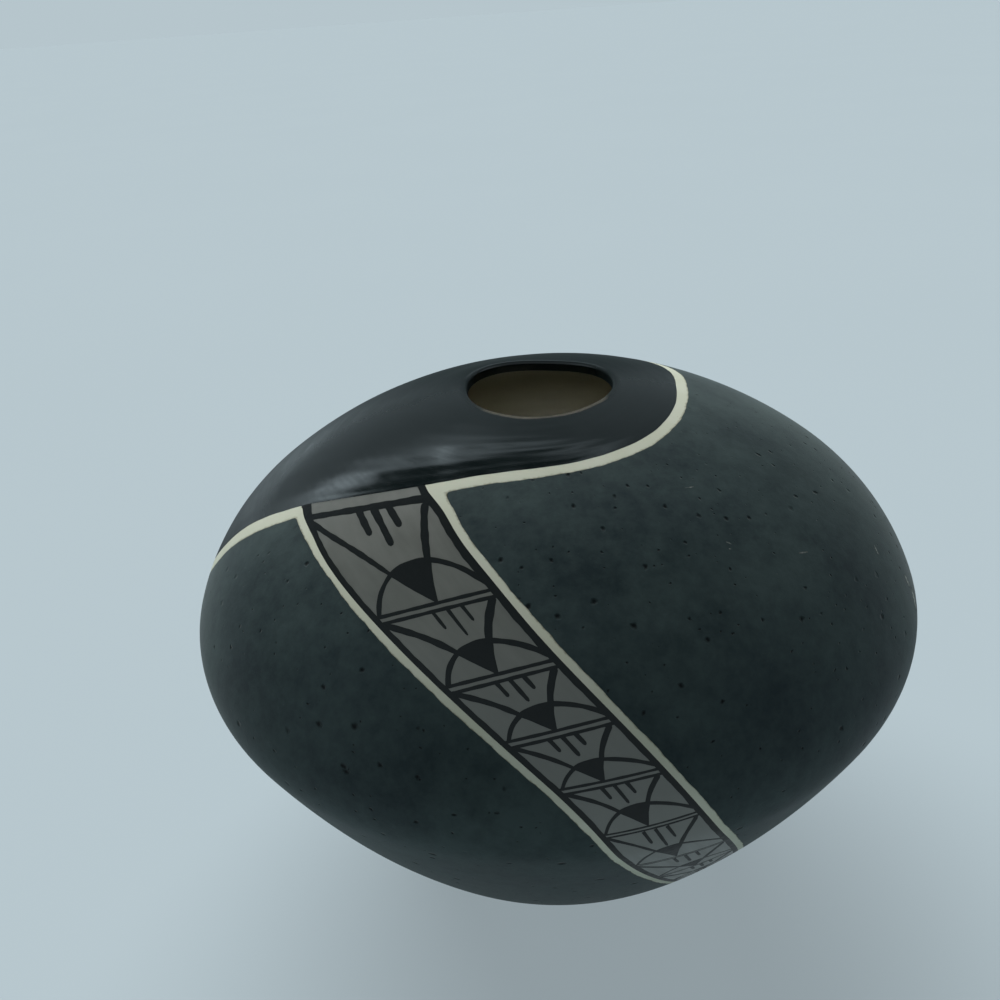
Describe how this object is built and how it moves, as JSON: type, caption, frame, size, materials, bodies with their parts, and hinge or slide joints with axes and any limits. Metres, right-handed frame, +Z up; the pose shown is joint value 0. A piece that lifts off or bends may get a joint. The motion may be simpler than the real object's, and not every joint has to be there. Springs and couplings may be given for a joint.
{
  "type": "vase",
  "caption": "Wide, low blackware vase with a small round mouth in its domed top, a polished black cap, a matte charcoal body and a grey band with painted panels falling across its front.",
  "frame": {"origin": "centre of the flat base, on the table", "axes": "+Z up along the vase's axis, -Y towards the viewer: the painted band starts on the upper left and falls to the lower right of that side"},
  "size_m": [0.2, 0.2, 0.1441],
  "materials": {
    "clay": "bare fired earthenware, matte",
    "polished_black_slip": "stone-polished black slip, glossy",
    "charcoal_slip": "matte charcoal slip",
    "grey_slip": "satin grey slip",
    "cream_slip": "matte cream slip"
  },
  "bodies": {
    "root": {"base_pad": "charcoal_slip", "flank_wall": "clay", "belly_wall": "clay", "shoulder_wall": "clay", "dome_wall": "clay", "mouth_rim": "polished_black_slip", "cream_line": "cream_slip", "polished_cap": "polished_black_slip", "grey_band": "grey_slip", "charcoal_field": "charcoal_slip"}
  },
  "joints": []
}
